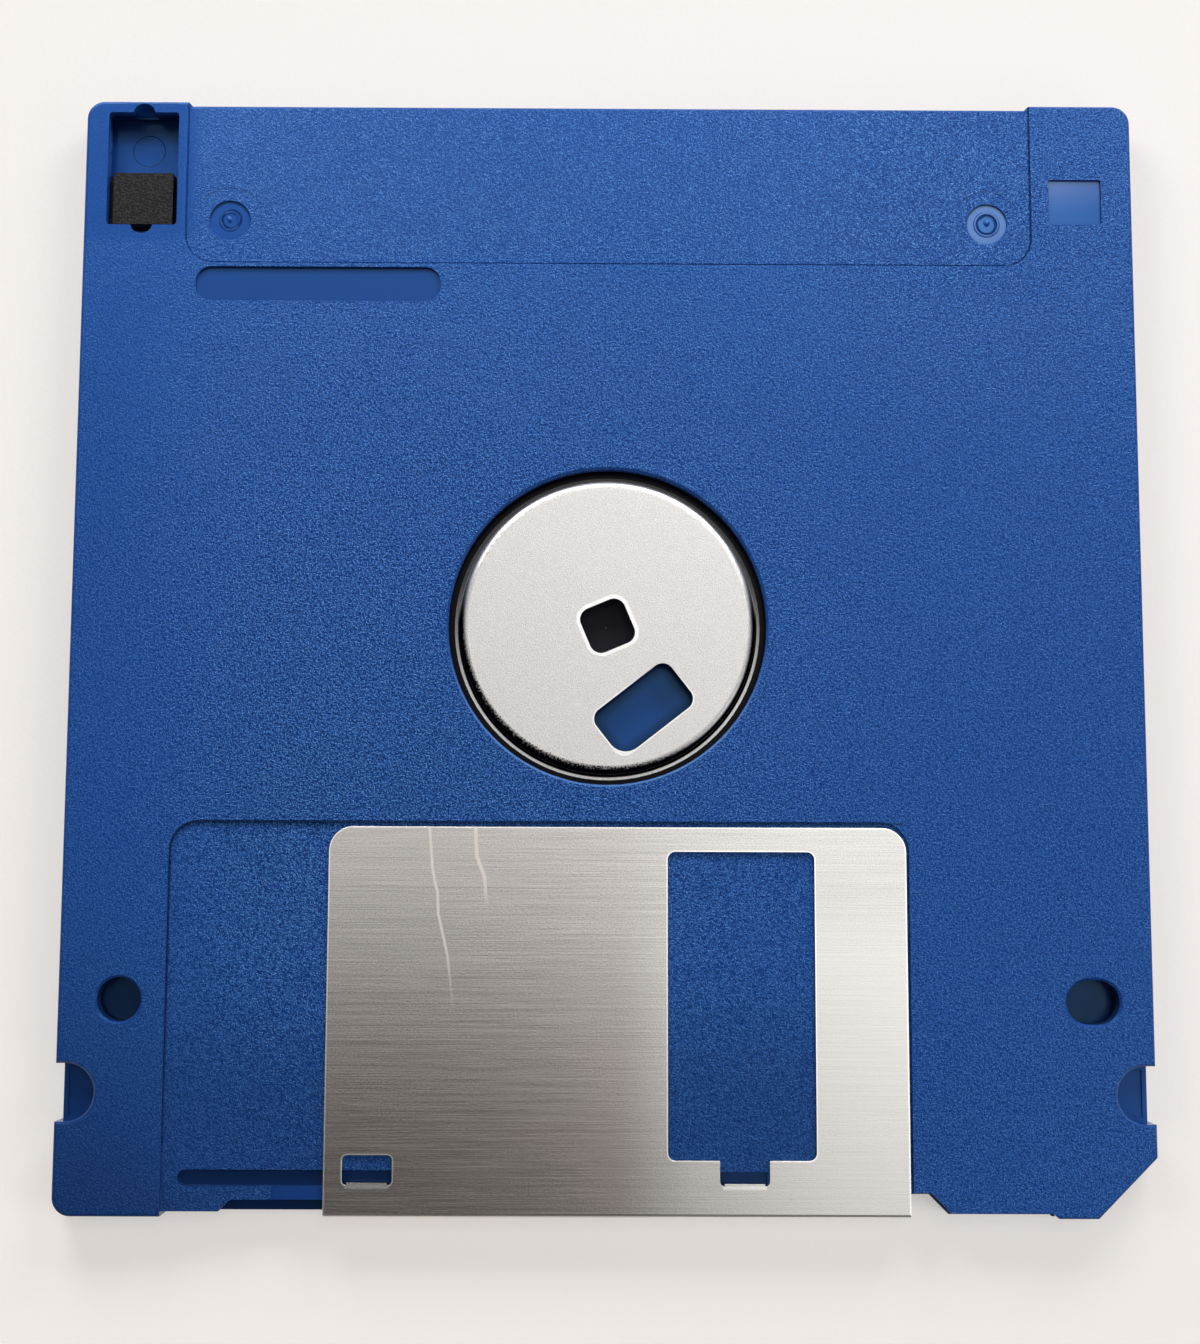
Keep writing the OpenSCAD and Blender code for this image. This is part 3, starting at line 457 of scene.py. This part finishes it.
def grain_strength(x, y, z, pit):
    """How strongly the eroded grain shows: on outer faces, crisp near the middle, faint at the left and the tab."""
    outer = z.near(TOP, 0.06 * MM).above(z.near(LABEL_FLOOR, 0.05 * MM)).above(z.near(BAY_FLOOR, 0.04 * MM))
    outer = outer.above(z.ease(0.5 * MM, 0.6 * MM, 1.0, 0.0))
    crisp = away(x, y, (-15 * MM, -5 * MM)).ease(5 * MM, 46 * MM, 1.0, 0.45)
    hazy = away(x, y, (32 * MM, 38 * MM)).ease(4 * MM, 22 * MM, 0.3, 0.0)
    margin = x.ease(-43 * MM, -25 * MM, 0.5, 1.0)
    corner = beyond_box(x, y, (-41 * MM, 41.5 * MM), (4.9 * MM, 6 * MM), 1 * MM).ease(0.0, 1.5 * MM, 0.3, 1.0)
    return outer * (crisp + hazy) * margin * corner * pit.ease(1.75 * MM, 1.85 * MM)


def gate_marks(x, y, pit, top):
    """Masks of the gate pits: the step round each, on its upper side, and the ring on its floor, both for painted
    shade; the nub on that floor; and the right one's polish.
    """
    right = x.ease(-1 * MM, 1 * MM)
    step = pit.near(2.95 * MM, 0.1 * MM) * (y - GATE[1]).ease(0.6 * MM, 2.6 * MM) * top
    pit_floor = top * pit.ease(1.6 * MM, 1.7 * MM, 1.0, 0.0)
    crater = away(x, y, LEFT_CRATER) * (1 - right) + pit * right
    ring = crater.near(0.8 * MM, 0.14 * MM) * pit_floor
    nub = away(abs(x), y, NUB).ease(0.0, 0.3 * MM, 1.0, 0.0) * pit_floor
    polish = (pit_floor * right * pit.ease(0.92 * MM, 1.0 * MM)) * 0.35
    return step, ring, nub, polish


def opening_shade(f, x, y, z):
    """How much darker the floors and walls of the openings are, most of all under the walls at the label end."""
    above_base = z.ease(0.6 * MM, 0.9 * MM)
    rim = beyond_box(x, y, MIDDLE, CASE_HALF, CORNER).ease(-0.9 * MM, -0.5 * MM, 1.0, 0.0)
    deep = z.ease(2.3 * MM, 2.9 * MM, 1.0, 0.0) * above_base * rim
    under_wall = deep * y.ease(43.6 * MM, 45.3 * MM, 0.05, 0.8)
    disc = away(x, y, TAB_DISC).near(1.38 * MM, 0.1 * MM) * deep * 0.6
    u, v = turned(f, PIN_HOLE, PIN_HOLE_TURN)
    well = beyond_box(u, v, MIDDLE, PIN_HOLE_HALF, 1 * MM).ease(-1.3 * MM, 0.0, 0.0, 0.75)
    well = well * away(x, y, PIN_HOLE).ease(4.6 * MM, 4.9 * MM, 1.0, 0.0) * deep
    groove = z.ease(2.3 * MM, 2.8 * MM, 0.75, 0.0) * y.ease(-42 * MM, -41 * MM, 1.0, 0.0) * above_base
    hole = away(abs(x), y, LOCATING_HOLE).ease(2.7 * MM, 2.8 * MM, 0.75, 0.0)
    hole = hole * z.ease(2.8 * MM, 3.1 * MM, 1.0, 0.0) * above_base
    return under_wall.above(disc).above(well).above(groove).above(hole)


def face_shade(x, y, z, pit, top):
    """How much darker the hub side's shallow recesses, their edges and its lower left part are."""
    strip = beyond_box(x, y, (-24.8 * MM, 30.85 * MM), (10.45 * MM, 1.48 * MM), 1.32 * MM)
    recess = strip.ease(0.0, 0.1 * MM, 0.2, 0.0) * top
    eave = strip.near(-0.06 * MM, 0.16 * MM) * y.ease(31.5 * MM, 32.1 * MM) * 0.85
    wall = pit.near(1.7 * MM, 0.2 * MM) * (y - GATE[1]).ease(-0.6 * MM, 1.4 * MM) * 0.8
    brink = beyond_box(x, y, BAY_MIDDLE, BAY_HALF, LABEL_CORNER).near(-0.04 * MM, 0.16 * MM) * 0.7
    brink = brink * z.ease(2.85 * MM, 2.9 * MM) * y.ease(-42 * MM, -41 * MM) * x.ease(24 * MM, 25 * MM, 1.0, 0.0)
    low = (x * 0.6 + y).ease(-76 * MM, -44 * MM, 0.52, 0.0)
    low_bay = z.near(BAY_FLOOR, 0.04 * MM) * y.ease(-40 * MM, -26 * MM, 0.32, 0.0)
    return recess.above(eave).above(wall).above(brink).above(low).above(low_bay)


def moulded_blue():
    """Blue moulded plastic, fine spark-eroded grain on its outer faces and smooth inside and in the pits, with
    painted shade in its edge lines, pits, openings and recesses and painted highlights on a few edges.
    """
    f = Finish("moulded_blue")
    x, y, z = f.axes()
    pit = away(abs(x), y, GATE)
    top = z.ease(2.96 * MM, 2.98 * MM)
    height = f.noise(0.22 * MM, 1.0, 0.5) * 0.5 + f.noise(0.12 * MM, 1.0, 0.5) * 0.5
    amount = grain_strength(x, y, z, pit)
    relief = (height - 0.5) * amount
    # Light specks on the grain's peaks: partly the plastic's own, partly painted glints
    flecks_and_glints = f.noise(0.11 * MM, 0.0, 0.5).ease(0.55, 0.70) * height.ease(0.42, 0.54) * amount
    # The label field's edge shows painted shade as a fine dark line, with a painted highlight on the lip outside it
    edge = beyond_box(x, y, (0.0, 42.7 * MM), (36.3 * MM, 10 * MM), LABEL_CORNER)
    shaded_crease = edge.near(-0.05 * MM, 0.11 * MM) * top * x.ease(-36.3 * MM, 12 * MM, 0.55, 1.0)
    lip = edge.near(0.16 * MM, 0.12 * MM) * top
    step, ring, nub, polish = gate_marks(x, y, pit, top)
    form = f.bump((ring * -1 + nub * 1.5 - shaded_crease) * 0.5 + 0.5, 0.12 * MM)
    mottle = f.noise(9 * MM, 3.0, 0.5).ease(0.35, 0.65)
    colour = f.blend(mottle, (0.0028, 0.029, 0.190, 1), (0.0037, 0.033, 0.203, 1))
    # The grain's peaks are lighter and its hollows darker, partly its own tone and partly painted shade and sheen
    colour = f.blend(relief.ease(-0.12, 0.18) + lip * 0.12, colour, (0.027, 0.124, 0.45, 1))
    colour = f.blend(flecks_and_glints, colour, (0.11, 0.28, 0.66, 1))
    # Painted highlight on the lower half of the lead-in round the hub opening
    mouth_highlight = away(x, y, SPINDLE).near(13.45 * MM, 0.13 * MM) * z.ease(2.9 * MM, 3.1 * MM)
    colour = f.blend(mouth_highlight * y.ease(-6 * MM, 2 * MM, 0.45, 0.0), colour, (0.16, 0.34, 0.70, 1))
    # Painted shade: the label field's edge line, the gate pits' steps and rings, the openings and the hub side's
    # recesses and lower left go towards near-black blue
    dark = (shaded_crease * 0.75).above(step * 0.55).above(ring * 0.7)
    dark = dark.above(opening_shade(f, x, y, z)).above(face_shade(x, y, z, pit, top))
    square = beyond_box(x, y, (40.1 * MM, 38.4 * MM), (2.3 * MM, 2.02 * MM), 0.1 * MM).ease(0.0, 0.05 * MM, 1.0, 0.0)
    clean = f.noise(0.12 * MM, 1.0, 0.5).ease(0.3, 0.6, 0.75, 1.0)
    return f.surface(
        Base_Color=f.blend(dark, colour, (0.002, 0.007, 0.038, 1)),
        Roughness=f.noise(2.5 * MM, 4.0, 0.6).ease(0.3, 0.7, 0.19, 0.23),
        Specular_IOR_Level=0.4,
        Specular_Tint=(0.3, 0.65, 1.0, 1),
        Coat_Weight=(square * y.ease(37.4 * MM, 40.2 * MM, 0.0, 0.45)).above(polish) * clean,
        Coat_Roughness=0.2,
        Coat_Tint=(0.75, 0.9, 1.0, 1),
        Normal=f.bump(relief, 0.30 * MM, normal=form),
    )


def beside_line(x, y, points):
    """The distance of (x, y) from a bent line through points that are given in millimetres."""
    nearest = None
    for start, end in zip(points, points[1:]):
        start, end = np.array(start) * MM, np.array(end) * MM
        way = (end - start) / np.linalg.norm(end - start)
        along = (x - start[0]) * way[0] + (y - start[1]) * way[1]
        along = along.above(0.0).below(float(np.linalg.norm(end - start)))
        gap = away(x - along * way[0], y - along * way[1], start)
        nearest = gap if nearest is None else nearest.below(gap)
    return nearest


LONG_SCRATCH = [(-14.7, -15.3), (-14.4, -18.9), (-13.95, -20.9), (-13.9, -22.5), (-13.1, -25.9), (-12.6, -30.0)]
SHORT_SCRATCH = [(-10.9, -15.3), (-10.75, -17.8), (-10.1, -19.5), (-9.85, -23.0)]


def brushed_steel():
    """Stainless sheet, rolled and brushed along X and scratched near the hub, with painted highlights along its cut
    edges and fold, and painted reflection that darkens its lower left and lightens its right.
    """
    f = Finish("brushed_steel")
    x, y, z = f.axes()
    lines = f.noise(0.06 * MM, 2.0, 0.7, f.shifted(scale=(0.008, 1, 1)))
    bands = f.noise(0.16 * MM, 3.0, 0.7, f.shifted(scale=(0.005, 1, 1)))
    specks = f.noise(0.13 * MM, 1.0, 0.5)
    height = lines * 0.4 + bands * 0.25 + specks * 0.35
    worn = away(x, y, (18 * MM, -44 * MM)).ease(12 * MM, 34 * MM, 0.45, 1.0)
    tone = (height - 0.5) * worn + 0.5
    tone = tone.ease(0.34, 0.64)
    colour = f.blend(tone, (0.50, 0.495, 0.485, 1), (0.74, 0.725, 0.70, 1))
    # Painted reflection: the left part is darkened and warmed towards the bottom, and the right part lightened, less
    # towards its top
    side = x.ease(0.0, 8 * MM)
    colour = f.blend((1 - side) * y.ease(-44 * MM, -20 * MM, 0.40, 0.14), colour, (0.38, 0.28, 0.23, 1))
    colour = f.blend(side * y.ease(-27 * MM, -20 * MM, 0.26, 0.0), colour, (0.92, 0.91, 0.86, 1))
    long_one = beside_line(x, y, LONG_SCRATCH) + specks * 0.05 * MM
    long_one = long_one.ease(0.08 * MM, 0.18 * MM, 1.0, 0.0) * y.ease(-30 * MM, -23 * MM, 0.1, 1.0)
    short_one = beside_line(x, y, SHORT_SCRATCH) + specks * 0.08 * MM
    short_one = short_one.ease(0.10 * MM, 0.26 * MM, 1.0, 0.0) * y.ease(-22.5 * MM, -19 * MM)
    scratch = long_one.above(short_one)
    colour = f.blend(scratch * 0.8, colour, (0.92, 0.86, 0.80, 1))
    face = z.ease(3.1 * MM, 3.15 * MM)
    plate = abs(beyond_box(x, y, (0.9 * MM, -41.35 * MM), (23.9 * MM, 26 * MM), 2 * MM))
    window = abs(beyond_box(x, y, (11.1 * MM, -29.9 * MM), (6.05 * MM, 12.5 * MM), 0.6 * MM))
    catch = abs(beyond_box(x, y, (-19.45 * MM, -43.25 * MM), (2.025 * MM, 1.2 * MM), 0.4 * MM))
    # Painted highlights along the cut edges, the fold and the short strips below the window and the catch
    edge_highlight = plate.below(window).below(catch).ease(0.09 * MM, 0.15 * MM, 1.0, 0.0) * face
    bend = (y + 46.86 * MM).near(0.0, 0.14 * MM) * x.ease(-24 * MM, 24 * MM, 0.3, 1.0)
    tongue_highlight = (abs(x - 11.3 * MM).below(abs(x + 19.45 * MM))).ease(1.7 * MM, 1.85 * MM, 1.0, 0.0)
    tongue_highlight = tongue_highlight * (y + 44.55 * MM).near(0.0, 0.3 * MM) * z.ease(2.6 * MM, 2.8 * MM)
    colour = f.blend(edge_highlight.above(bend).above(tongue_highlight), colour, (1.0, 0.99, 0.96, 1))
    return f.surface(
        Base_Color=colour,
        Metallic=1.0,
        Roughness=tone * 0.06 + 0.17 + scratch * 0.2,
        Normal=f.bump(height, 0.006 * MM),
    )


def stamped_steel():
    """Matt stamped sheet of the hub, burnished at the square hole's lip, with painted highlights on the pin slot's
    lower edge and the rim's upper part, and painted near black down its side wall and behind the rim as shade and
    dark reflection, and on the flange beyond 13.04 mm.
    """
    f = Finish("stamped_steel")
    x, y, z = f.axes()
    grain = f.noise(0.16 * MM, 3.0, 0.6)
    fine = f.noise(0.09 * MM, 1.0, 0.5)
    soft = f.noise(0.6 * MM, 2.0, 0.5)
    wide = away(x, y, SPINDLE)
    colour = f.blend((soft * 0.1 + fine * 0.9).ease(0.3, 0.7), (0.64, 0.63, 0.62, 1), (0.85, 0.84, 0.825, 1))
    u, v = turned(f, SPINDLE, SPINDLE_HOLE_TURN)
    square = beyond_box(u, v, MIDDLE, (2 * MM, 2 * MM), 1 * MM)
    lip = square.ease(0.28 * MM, 0.38 * MM, 1.0, 0.0)
    u, v = turned(f, PIN_HOLE, PIN_HOLE_TURN)
    slot = beyond_box(u, v, MIDDLE, PIN_HOLE_HALF, 1 * MM)
    # Painted highlight on the pin slot's lower edge and on the rim's upper part; the square hole's lip is burnished
    edge_highlight = slot.ease(0.08 * MM, 0.16 * MM, 1.0, 0.0) * y.ease(-4.5 * MM, -2.0 * MM, 1.0, 0.0)
    rim = wide.ease(11.9 * MM, 12.0 * MM) * y.ease(2 * MM, 9 * MM)
    bright = lip.above(edge_highlight).above(rim) * z.ease(2.5 * MM, 2.6 * MM)
    colour = f.blend(bright, colour, (1.0, 1.0, 1.0, 1))
    # Painted shade and dark reflection: the side wall at the front and a band behind the rim at the back go near
    # black, and so does the flange beyond 13.04 mm
    front = (x * 0.5 + y * 0.87).ease(-12 * MM, -2 * MM, 1.0, 0.0)
    inward = wide + front * (grain - 0.35) * 1.6 * MM
    wall = inward.ease(11.95 * MM, 12.25 * MM) * wide.ease(12.62 * MM, 12.7 * MM, 1.0, 0.0)
    wall = wall * y.ease(2 * MM, 6 * MM, 1.0, 0.0)
    behind_shade = wide.ease(12.5 * MM, 12.6 * MM) * y.ease(-6 * MM, 6 * MM)
    outer = wide.ease(13.04 * MM, 13.1 * MM)
    dark = wall.above(behind_shade * 0.9).above(outer) * z.ease(1.4 * MM, 1.5 * MM)
    colour = f.blend(dark, colour, (0.002, 0.002, 0.003, 1))
    return f.surface(
        Base_Color=colour,
        Metallic=1.0,
        Roughness=grain * 0.1 + 0.36,
        Normal=f.bump(grain * 0.5 + fine * 0.4 + soft * 0.1, 0.026 * MM),
    )


def spring_wire():
    """Drawn bright wire."""
    f = Finish("spring_wire")
    streak = f.noise(0.08 * MM, 2.0, 0.5)
    return f.surface(
        Base_Color=f.blend(streak, (0.52, 0.52, 0.53, 1), (0.66, 0.66, 0.67, 1)), Metallic=1.0, Roughness=0.24
    )


def black_plastic():
    """Black moulded plastic with a coarse matt grain."""
    f = Finish("black_plastic")
    grain = f.noise(0.2 * MM, 3.0, 0.6)
    return f.surface(
        Base_Color=f.blend(grain.ease(0.4, 0.75), (0.003, 0.0025, 0.003, 1), (0.030, 0.027, 0.030, 1)),
        Roughness=grain * 0.15 + 0.4,
        Specular_IOR_Level=0.18,
        Normal=f.bump(grain, 0.1 * MM),
    )


def film_coat():
    """Dark oxide coating, polished in very fine rings."""
    f = Finish("film_coat")
    x, y, _ = f.axes()
    ring_gap = 0.16 * MM
    rings = (away(x, y, SPINDLE) * (2 * np.pi / ring_gap)).wave() * 0.5 + 0.5
    return f.surface(
        Base_Color=f.blend(rings, (0.003, 0.003, 0.006, 1), (0.005, 0.005, 0.008, 1)),
        Roughness=rings * 0.04 + 0.22,
        Specular_IOR_Level=0.08,
    )


def fleece():
    """White non-woven liner: matted fibres."""
    f = Finish("fleece")
    fibres = f.noise(0.12 * MM, 4.0, 0.7, distortion=1.5)
    return f.surface(
        Base_Color=f.blend(fibres, (0.62, 0.61, 0.58, 1), (0.80, 0.79, 0.77, 1)),
        Roughness=0.9,
        Normal=f.bump(fibres, 0.05 * MM),
    )


def felt_black():
    """The dense black wear pad."""
    f = Finish("felt_black")
    fibres = f.noise(0.1 * MM, 4.0, 0.7)
    specks = f.cells(0.9 * MM).ease(0.04, 0.09, 1.0, 0.0)
    return f.surface(
        Base_Color=f.blend(specks, (0.020, 0.019, 0.027, 1), (0.16, 0.16, 0.17, 1)),
        Roughness=fibres * 0.2 + 0.55,
        Specular_IOR_Level=0.1,
        Normal=f.bump(fibres, 0.04 * MM),
    )


def amber_adhesive():
    """The adhesive film between the hub's flange and the disk."""
    f = Finish("amber_adhesive")
    cloud = f.noise(1.5 * MM, 3.0, 0.5)
    return f.surface(
        Base_Color=f.blend(cloud, (0.30, 0.24, 0.12, 1), (0.40, 0.33, 0.18, 1)), Roughness=cloud * 0.2 + 0.3
    )


def cream_leaf():
    """The plastic leaf under the lower liner."""
    f = Finish("cream_leaf")
    cloud = f.noise(4 * MM, 3.0, 0.5)
    return f.surface(
        Base_Color=f.blend(cloud, (0.60, 0.57, 0.42, 1), (0.68, 0.65, 0.50, 1)), Roughness=cloud * 0.15 + 0.25
    )


blue = moulded_blue()
steel = brushed_steel()
hub_steel = stamped_steel()
wire_steel = spring_wire()
black = black_plastic()
coat = film_coat()
white_fleece = fleece()
FINISHES = {
    "hub_side_shell": blue,
    "label_side_shell": blue,
    "shutter": steel,
    "shutter_spring": wire_steel,
    "write_protect_tab": black,
    "magnetic_disk": coat,
    "hub": hub_steel,
    "hub_adhesive_ring": amber_adhesive(),
    "hub_side_liner": white_fleece,
    "label_side_liner": white_fleece,
    "liner_lifter": cream_leaf(),
    "wear_pad": felt_black(),
}
for name, finish in FINISHES.items():
    paint(name, finish)
for name, rounded in soft_pieces.items():
    paint(rounded, FINISHES[name])
paint(spring, wire_steel)
for fleece_ring in fleeces:
    paint(fleece_ring, white_fleece)


# Floor, light and camera


# Each lamp's place, the length of its side and its power
LAMPS = {
    "back_left": ((-0.08, 0.16, 0.10), 0.09, 0.22),
    "back_right": ((0.08, 0.16, 0.10), 0.09, 0.22),
    "right_fill": ((0.16, -0.08, 0.10), 0.08, 0.06),
    "ceiling": ((0.199, 0.325, 0.8), 0.06, 0.25),
}
ROOM_SHARE = 0.2


def lamp_light(x, y, place, size, power):
    """The light that one lamp, aimed at the origin, throws on the floor: power z cos(a) / (pi r)^2 r."""
    aside, off = x - place[0], y - place[1]
    squared = (aside * aside) + (off * off) + place[2] ** 2
    far = np.linalg.norm(place)
    facing = far - (x * (place[0] / far) + y * (place[1] / far))
    return facing.above(0.0) * (power * place[2] / np.pi**2) / (squared * squared)


def pale_floor():
    """Warm white card, darker near the lamps so that it stays even, with half of its white its own.

    A little more of it is its own close to the front edge, where the lamps' shadow is deepest.
    """
    f = Finish("pale_floor")
    x, y, _ = f.axes()
    light = ROOM_SHARE
    for settings in LAMPS.values():
        light = lamp_light(x, y, *settings) + light
    # Painted shade: the card's own white is darker towards the front left, where less light falls
    corner = (y * 0.7 + x * 0.2).ease(-0.07, 0.07)
    tone = f.blend(corner, (0.78, 0.745, 0.715, 1), (0.92, 0.885, 0.86, 1))
    times = {"data_type": "RGBA", "blend_type": "MULTIPLY"}
    level = f.node("Mix", times, {0: 1.0, 6: tone, 7: 0.5 / light}, 2)
    seen = f.node("LightPath", output="Is Camera Ray").above(f.node("LightPath", output="Is Glossy Ray"))
    front = beyond_box(x, y, MIDDLE, CASE_HALF, CORNER).ease(0.0, 9 * MM, 1.0, 0.0)
    front = front * y.ease(-49 * MM, -45 * MM, 1.0, 0.0) * 0.05
    own = f.node("Mix", times, {0: 1.0, 6: tone, 7: seen * (front + 0.5)}, 2)
    tooth = f.noise(0.5 * MM, 3.0, 0.6)
    return f.surface(
        Base_Color=level,
        Roughness=0.75,
        Emission_Color=own,
        Emission_Strength=1.0,
        Normal=f.bump(tooth, 0.02 * MM),
    )


def floor(half=3.0):
    """A flat square that the case lies on."""
    corners = [(-half, -half, 0), (half, -half, 0), (half, half, 0), (-half, half, 0)]
    mesh = bpy.data.meshes.new("floor")
    mesh.from_pydata(corners, [], [(0, 1, 2, 3)])
    obj = bpy.data.objects.new("floor", mesh)
    bpy.context.scene.collection.objects.link(obj)
    paint(obj, pale_floor())
    return obj


def soft_room():
    """A dim room with a broad pale reflector overhead, brighter towards the back and the right."""
    f = Finish("soft_room", world=True)
    x, y, z = f.axes(f.node("TexCoord", output="Generated"))
    up = z.above(0.05)
    across, along = x / up, y / up
    right, back = across - 0.03, along - 0.06
    aside = ((right * right) + (back * back)) ** 0.5
    left_side = along.ease(-0.13, 0.16, 0.06, 1.35)
    right_side = along.ease(-0.2, 0.05, 1.05, 1.5)
    side = (across + along * 0.2).ease(-0.01, 0.085)
    overhead = left_side * (1 - side) + right_side * side
    over = aside.ease(0.28, 0.55, 1.0, 0.0)
    level = overhead * over + (1 - over) * ROOM_SHARE
    background = f.node("Background", inputs={"Color": (1.0, 0.985, 0.97, 1), "Strength": level})
    f.node("OutputWorld", inputs={"Surface": background})
    bpy.context.scene.world = f.data


def lamp(name, place, size, power):
    """A square soft lamp that faces the middle of the case."""
    light = bpy.data.lights.new(name, "AREA")
    light.size = size
    light.energy = power
    obj = bpy.data.objects.new(name, light)
    obj.location = place
    direction = -np.array(place, float)
    azimuth = np.arctan2(direction[1], direction[0])
    tilt = np.arccos(-direction[2] / np.linalg.norm(direction))
    obj.rotation_euler = (tilt, 0, azimuth - np.pi / 2)
    obj.visible_camera = False
    bpy.context.scene.collection.objects.link(obj)
    return obj


def camera():
    """The viewpoint that the photograph was taken from, worked out from the case's known sizes."""
    data = bpy.data.cameras.new("camera")
    data.sensor_width = 36
    data.lens = 52.27
    data.shift_x = 0.00427
    data.shift_y = 0.0005
    data.clip_start = 0.01
    obj = bpy.data.objects.new("camera", data)
    obj.location = (-0.001847, -0.020629, 0.165388)
    obj.rotation_euler = (0.1114, -0.005, 0.0035)
    bpy.context.scene.collection.objects.link(obj)
    bpy.context.scene.camera = obj


floor()
soft_room()
for name, settings in LAMPS.items():
    lamp(name, *settings)
camera()
bpy.context.scene.view_settings.view_transform = "Standard"
